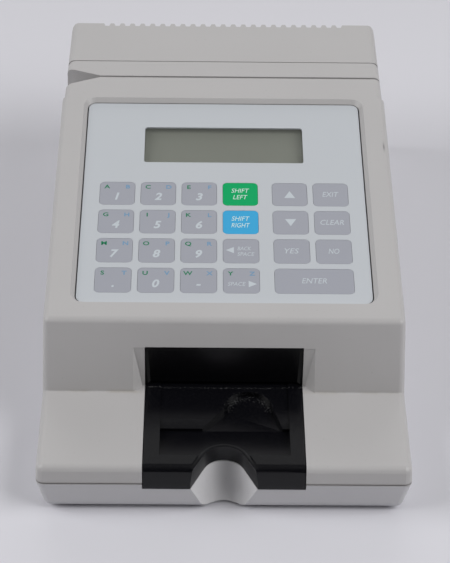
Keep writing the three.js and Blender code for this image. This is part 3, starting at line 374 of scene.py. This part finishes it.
def worn(material):
    """Patchy stains in the corner of shelf and fascia, and one dark rub mark on the panel."""
    tree = material.node_tree
    place = on_piece(tree)
    axes = axes_of(tree, place)
    overlaid(material, stain_colour, near(tree, axes["Z"], shelf_height, corner_reach),
             near(tree, axes["Y"], fascia_foot, corner_reach),
             specks(tree, place, stain_size, stain_span), stain_share)
    overlaid(material, scuff_colour, near(tree, axes["X"], scuff_across, scuff_width),
             near(tree, axes["Y"], scuff_along, scuff_length), scuff_share)
    return material


# The upper case carries the same painted seam shade along its lower edge.
upper_plastic = worn(soiled_and_seam_shaded(grained(surface("light grey plastic", upper_colour, **case_coat),
                                    **case_grain)))
moulding("upper_shell", "upper_housing", upper_plastic, upper_edge)
moulding("bridge_shell", "swipe_bridge", upper_plastic, upper_edge)
moulding("rear_shell", "rear_cover", upper_plastic, upper_edge)


# Keypad overlay: a satin polyester sheet printed pale blue grey on its back, lying in the
# bevelled pocket of the panel. The sheet of switches under it is a clouded film.
overlay_colour = (184, 188, 193)
overlay_grain = {
    "size": 0.2 * mm,
    "depth": 0.003 * mm,
    "mottle_size": 60 * mm,
    "mottle_share": 0.012,
    "roughness": (0.36, 0.46),
}
overlay_edge = 0.08 * mm
switch_colour = (150, 155, 160)
switch_grain = {
    "size": 0.3 * mm,
    "depth": 0.004 * mm,
    "mottle_size": 30 * mm,
    "mottle_share": 0.035,
    "roughness": (0.5, 0.62),
}

overlay_film = grained(surface("overlay film", overlay_colour), **overlay_grain)
moulding("overlay_sheet", "keypad_overlay", overlay_film, overlay_edge)
switch_materials = nodes["switch_sheet"].data.materials
switch_materials.clear()
switch_materials.append(grained(surface("switch film", switch_colour), **switch_grain))


# Keys: printed touch areas in the film, each a thin plate with softly rounded edges, drawn out
# a little to fill its place. Most are grey, and the two shift keys are green and blue.
key_gloss = 0.3
shift_gloss = 0.1
key_finishes = {
    "key_grey": ((155, 157, 166), key_gloss),
    "key_green": ((2, 160, 94), shift_gloss),
    "key_blue": ((62, 162, 210), shift_gloss),
}
key_grain = {**overlay_grain, "mottle_size": 25 * mm}
key_edge = 0.12 * mm
key_growth = 0.1 * mm
key_thickness = 0.8 * mm
panel_tilt = math.radians(4.88)
panel_across = Vector((1, 0, 0))
panel_up = Vector((0, math.cos(panel_tilt), math.sin(panel_tilt)))
panel_out = Vector((0, -math.sin(panel_tilt), math.cos(panel_tilt)))


def points_of(mesh):
    """The mesh's points as rows of an array."""
    flat = np.empty(3 * len(mesh.vertices), np.float32)
    mesh.vertices.foreach_get("co", flat)
    return flat.astype(float).reshape(-1, 3)


def widen(mesh, growth):
    """Each point of a plate on the panel moves by the growth away from the plate's middle, both
    across the panel and up or down it."""
    points = points_of(mesh)
    off = points - points.mean(axis=0)
    for way in (panel_across, panel_up):
        points += np.outer(np.copysign(growth, off @ way), way)
    mesh.vertices.foreach_set("co", points.ravel())


key_films = {slot: grained(surface(slot.replace("_", " "), colour, gloss), **key_grain)
             for slot, (colour, gloss) in key_finishes.items()}
for key in [node for node in nodes if node.startswith("key_")]:
    cap = moulding(key + "_cap", key, key_films[slots[key]], key_edge)
    widen(cap.data, key_growth)


# Legends: flat ink in italic capitals and figures, pale on the grey keys and white on the
# shift keys. The small upright letters at a key's upper corners are green and blue.
ink_roughness = 0.5
letter_gloss = 0.2
inks = {
    "pale": surface("pale ink", (187, 194, 200), roughness=ink_roughness),
    "white": surface("white ink", (200, 224, 218), roughness=ink_roughness),
    "green": surface("green ink", (14, 118, 80), letter_gloss, roughness=ink_roughness),
    "blue": surface("blue ink", (108, 148, 180), letter_gloss, roughness=ink_roughness),
}
ink_height = 0.02 * mm
italic_share = 0.22
outline_steps = 3
figure_height = 4.5 * mm
figure_width_share = 0.93
figure_weight_share = 0.03
figure_up = -1.95 * mm
letter_height = 2.35 * mm
letter_width_share = 1.08
letter_weight_share = 0.02
letter_across = 4.85 * mm
letter_up = 4.6 * mm


def glyphs(text, slant_share=0, weight_share=0):
    """A word's letters at a font size of one, from the font's own outlines, reaching one above
    and one below the page: their points and faces."""
    curve = bpy.data.curves.new("letters", "FONT")
    curve.body = text
    curve.align_x = "CENTER"
    curve.shear = slant_share
    curve.offset = weight_share
    curve.extrude = 1
    curve.resolution_u = outline_steps
    holder = bpy.data.objects.new("letters", curve)
    mesh = bpy.data.meshes.new_from_object(holder)
    bpy.data.objects.remove(holder)
    return points_of(mesh), [list(face.vertices) for face in mesh.polygons]


capital_height = np.ptp(glyphs("E")[0][:, 1])


def words(text, height, width_share=1.0, slant_share=italic_share, weight_share=0):
    """Letters of a given capital height in a thin layer of ink, centred on their middle and
    drawn in or out across by a share of their own width."""
    points, faces = glyphs(text, slant_share, weight_share)
    points *= (width_share * height / capital_height, height / capital_height, ink_height)
    points[:, 0] -= (points[:, 0].min() + points[:, 0].max()) / 2
    points[:, 1] -= height / 2
    return points, faces


def fitted(text, height, width):
    """One word, drawn in or out to fill a given width."""
    own_width = np.ptp(words(text, height)[0][:, 0])
    return words(text, height, width / own_width)


def arrow(width, height, turn):
    """A triangle in a thin layer of ink, its three corners turned about its middle. It points
    up before it is turned."""
    corners = np.array([[-width / 2, -height / 2], [width / 2, -height / 2], [0, height / 2]])
    cos, sin = math.cos(turn), math.sin(turn)
    corners = corners @ np.array([[cos, sin], [-sin, cos]])
    points = np.vstack([np.column_stack([corners, np.full(len(corners), level)])
                        for level in (-ink_height, ink_height)])
    faces = [[2, 1, 0], [3, 4, 5], [0, 1, 4, 3], [1, 2, 5, 4], [2, 0, 3, 5]]
    return points, faces


def legend(key, marks):
    """All marks of one key as one mesh, from the shape, the place across and up and the ink of
    each. A point's three numbers are its steps across, up and out of the panel from the middle
    of the key's top."""
    low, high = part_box(key)
    top = np.array((low + high) / 2 + panel_out * key_thickness / 2)
    points, faces, inked = [], [], []
    for (shape, sides), across, up, ink in marks:
        start = sum(len(group) for group in points)
        moved = shape + (across, up, 0)
        points.append(top + moved @ np.array([panel_across, panel_up, panel_out]))
        faces += [[start + corner for corner in side] for side in sides]
        inked += [list(inks).index(ink)] * len(sides)
    piece = new_piece(key + "_legend", np.vstack(points), faces, *inks.values())
    piece.data.polygons.foreach_set("material_index", inked)
    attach(piece, key)


def letters(first, second):
    """The two small letters of a key, green on the left and blue on the right."""
    return [(words(text, letter_height, letter_width_share, 0, letter_weight_share),
             side * letter_across, letter_up, ink)
            for text, side, ink in ((first, -1, "green"), (second, 1, "blue"))]


figure_keys = [
    ("key_1", "1", "A", "B"), ("key_2", "2", "C", "D"), ("key_3", "3", "E", "F"),
    ("key_4", "4", "G", "H"), ("key_5", "5", "I", "J"), ("key_6", "6", "K", "L"),
    ("key_7", "7", "M", "N"), ("key_8", "8", "O", "P"), ("key_9", "9", "Q", "R"),
    ("key_point", ".", "S", "T"), ("key_0", "0", "U", "V"), ("key_minus", "-", "W", "X"),
]
for key, figure, first, second in figure_keys:
    shape = words(figure, figure_height, figure_width_share, weight_share=figure_weight_share)
    legend(key, [(shape, 0, figure_up, "pale"), *letters(first, second)])

word_height = 3.2 * mm
word_up = 0.35 * mm
word_widths = {
    "EXIT": 7.6 * mm,
    "CLEAR": 10.8 * mm,
    "YES": 6.6 * mm,
    "NO": 4.9 * mm,
    "ENTER": 11.2 * mm,
}
for word, width in word_widths.items():
    legend("key_" + word.lower(), [(fitted(word, word_height, width), 0, word_up, "pale")])

shift_height = 2.85 * mm
shift_width = 8.3 * mm
shift_up = 2.4 * mm
side_widths = {"LEFT": 6.7 * mm, "RIGHT": 8.5 * mm}
side_up = -2.05 * mm
for side, width in side_widths.items():
    legend("key_shift_" + side.lower(), [
        (fitted("SHIFT", shift_height, shift_width), 0, shift_up, "white"),
        (fitted(side, shift_height, width), 0, side_up, "white"),
    ])

arrow_size = (5.1 * mm, 4.7 * mm)
small_arrow_size = (4.0 * mm, 3.7 * mm)
small_arrow_across = 5.05 * mm
left_arrow_up = 0.6 * mm
small_height = 2.3 * mm
back_words = [
    ("BACK", 6.2 * mm, 1.5 * mm, 1.7 * mm),
    ("SPACE", 7.7 * mm, 2.2 * mm, -1.9 * mm),
]
space_width = 8.0 * mm
space_across = -2.1 * mm
legend("key_up", [(arrow(*arrow_size, 0), 0, 0, "pale")])
legend("key_down", [(arrow(*arrow_size, math.pi), 0, 0, "pale")])
legend("key_back_space", [
    (arrow(*small_arrow_size, math.pi / 2), -small_arrow_across, left_arrow_up, "pale"),
    *[(fitted(word, small_height, width), across, up, "pale")
      for word, width, across, up in back_words],
])
legend("key_space", [
    (fitted("SPACE", small_height, space_width), space_across, figure_up, "pale"),
    (arrow(*small_arrow_size, -math.pi / 2), small_arrow_across, figure_up, "pale"),
    *letters("Y", "Z"),
])


# Display: a dull green grey glass in a metal frame, behind a clear window in the film. Both
# are smooth, with only a trace of waviness.
glass_colour = (144, 147, 137)
glass_edge = 0.1 * mm
glass_grain = {
    "size": 0.25 * mm,
    "depth": 0.001 * mm,
    "mottle_size": 40 * mm,
    "mottle_share": 0.01,
    "roughness": (0.28, 0.34),
}
window_colour = (120, 123, 116)
window_tint_share = 0.2
window_edge = 0.05 * mm
window_grain = {**glass_grain, "roughness": (0.22, 0.3)}

glass = grained(surface("display glass", glass_colour), **glass_grain)
moulding("glass_plate", "display_glass", glass, glass_edge)
window = grained(surface("clear window", window_colour, alpha=window_tint_share), **window_grain)
moulding("window_pane", "display_window", window, window_edge)


# Card station: a half glossy black tray, flush with the shelf, under a leaning black hood.
# Dust lies in the round end of the tray's thumb hollow, along the hood's foot and thinly over
# the tray.
tray_colour = (8, 8, 12)
tray_gloss = 0.33
tray_grain = {
    "size": 0.3 * mm,
    "depth": 0.002 * mm,
    "mottle_size": 12 * mm,
    "mottle_share": 0.12,
    "roughness": (0.18, 0.25),
}
tray_edge = 0.25 * mm
hollow_middle = Vector((10.7, -95.55, 0)) * mm
hollow_radius = 10.6 * mm
hollow_levels = (21.42 * mm, 26.0 * mm)
hollow_steps = 48
hollow_reach = 1.6 * mm
hood_foot = -82.6 * mm
foot_reach = 0.45 * mm
dust_colour = (146, 146, 146)
dust_size = 0.8 * mm
dust_span = (0.5, 0.72)
thin_dust_share = 0.018
foot_dust_share = 0.3
hollow_dust_share = 0.16
hood_colour = (6, 6, 8)
hood_gloss = 0.22
hood_grain = {
    "size": 0.3 * mm,
    "depth": 0.001 * mm,
    "mottle_size": 30 * mm,
    "mottle_share": 0.08,
    "roughness": (0.2, 0.26),
}
hood_edge = 0.14 * mm


def dusted(material):
    """Grey specks, thick along the hollow's round end and the hood's foot, thin elsewhere."""
    tree = material.node_tree
    place = on_piece(tree)
    along = axes_of(tree, place)["Y"]
    behind = computed(tree, "GREATER_THAN", along, hollow_middle.y)
    flat = combined(tree, "MULTIPLY", place, (1, 1, 0)).outputs["Vector"]
    away = combined(tree, "DISTANCE", flat, hollow_middle).outputs["Value"]
    ring = product(tree, near(tree, away, hollow_radius - hollow_reach, hollow_reach), behind,
                   hollow_dust_share)
    foot = product(tree, near(tree, along, hood_foot, foot_reach), foot_dust_share)
    share = computed(tree, "ADD", computed(tree, "ADD", ring, foot), thin_dust_share)
    overlaid(material, dust_colour, share, specks(tree, place, dust_size, dust_span))
    return material


def post(name, middle, radius, levels, steps, material):
    """A closed round post: its points go round the middle in even steps, at each level."""
    turn = np.linspace(0, 2 * np.pi, steps, endpoint=False)
    ring = np.column_stack([middle.x + radius * np.cos(turn), middle.y + radius * np.sin(turn)])
    points = np.vstack([np.column_stack([ring, np.full(steps, level)]) for level in levels])
    start = np.arange(steps)
    after = np.roll(start, -1)
    sides = np.column_stack([start, after, after + steps, start + steps]).tolist()
    return new_piece(name, points, [*sides, start[::-1].tolist(), (start + steps).tolist()],
                     material)


def cut_away(piece, cutter):
    """The cutter's shape is taken from the piece before its edges are broken."""
    finishing = list(piece.modifiers)
    for modifier in finishing:
        modifier.show_viewport = False
    cut = piece.modifiers.new("cut", "BOOLEAN")
    cut.object = cutter
    cut.operation = "DIFFERENCE"
    cut.solver = "EXACT"
    whole = piece.evaluated_get(bpy.context.evaluated_depsgraph_get())
    mesh = bpy.data.meshes.new_from_object(whole)
    made_whole(mesh)
    shaded(mesh)
    piece.data = mesh
    piece.modifiers.remove(cut)
    for modifier in finishing:
        modifier.show_viewport = True
    bpy.data.objects.remove(cutter)


tray_black = dusted(grained(surface("tray black", tray_colour, tray_gloss), **tray_grain))
tray = moulding("tray_moulding", "card_tray", tray_black, tray_edge)

# The round end of the thumb hollow is cut finer than it is in the solid.
round_end = post("hollow", hollow_middle, hollow_radius, hollow_levels, hollow_steps, tray_black)
cut_away(tray, round_end)

hood_black = grained(surface("hood black", hood_colour, hood_gloss), **hood_grain)
moulding("hood_moulding", "card_hood", hood_black, hood_edge)


# Works: the boards, magnet, coil, battery, fasteners, feet and connectors keep their shapes and
# get the finish of what they are made of: its colour, its middle roughness and, for a metal, a
# metal share of one.
finishes = {
    "circuit_board": ((32, 104, 62), 0.35, 0),
    "steel": ((190, 194, 198), 0.32, 1),
    "aluminium": ((205, 207, 209), 0.38, 1),
    "copper": ((184, 104, 60), 0.35, 1),
    "cell_wrap": ((62, 96, 146), 0.4, 0),
    "rubber": ((44, 44, 46), 0.8, 0),
    "black_plastic": (tray_colour, 0.4, 0),
}
works_grain = {
    "size": 0.3 * mm,
    "depth": 0.004 * mm,
    "mottle_size": 15 * mm,
    "mottle_share": 0.035,
}
smoother = 0.06
rougher = 0.08
works_edge = 0.15 * mm
made_elsewhere = ("card_tray", "card_hood", "head_spring")

works_materials = {}
for slot, (colour, middle, metal_share) in finishes.items():
    plain = surface(slot.replace("_", " "), colour, metallic=metal_share)
    roughness = (middle - smoother, middle + rougher)
    works_materials[slot] = grained(plain, **works_grain, roughness=roughness)
for node in nodes:
    if slots[node] in finishes and node not in made_elsewhere:
        moulding(node + "_piece", node, works_materials[slots[node]], works_edge)


# Head spring: the flat steel strip behind the magnetic read head, made again as two halves
# that meet at the middle of the head, each in short even lengths.
spring_steps = 24
spring_seat = 1.2 * mm


def bar(name, ends, low, high, steps, material):
    """A closed flat bar along X, its section carried from end to end in short even lengths so
    that it can bend."""
    along = np.linspace(*ends, steps + 1)
    corners = np.array([[low.y, low.z], [high.y, low.z], [high.y, high.z], [low.y, high.z]])
    points = np.column_stack([np.repeat(along, len(corners)), np.tile(corners, (steps + 1, 1))])
    index = np.arange(len(points)).reshape(steps + 1, len(corners))
    after = np.roll(index, -1, axis=1)
    sides = np.stack([index[:-1], after[:-1], after[1:], index[1:]], -1).reshape(-1, 4)
    return new_piece(name, points, [*sides.tolist(), index[0][::-1].tolist(), index[-1].tolist()],
                     material)


low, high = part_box("head_spring")
head_low, head_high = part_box("read_head")
middle = (head_low.x + head_high.x) / 2
halves = [
    ("spring_left", (low.x, middle), low.x + spring_seat, head_low.x),
    ("spring_right", (middle, high.x), high.x - spring_seat, head_high.x),
]
for name, ends, seat_x, head_x in halves:
    half = bar(name, ends, low, high, spring_steps, works_materials["steel"])
    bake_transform(half)
    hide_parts("head_spring")
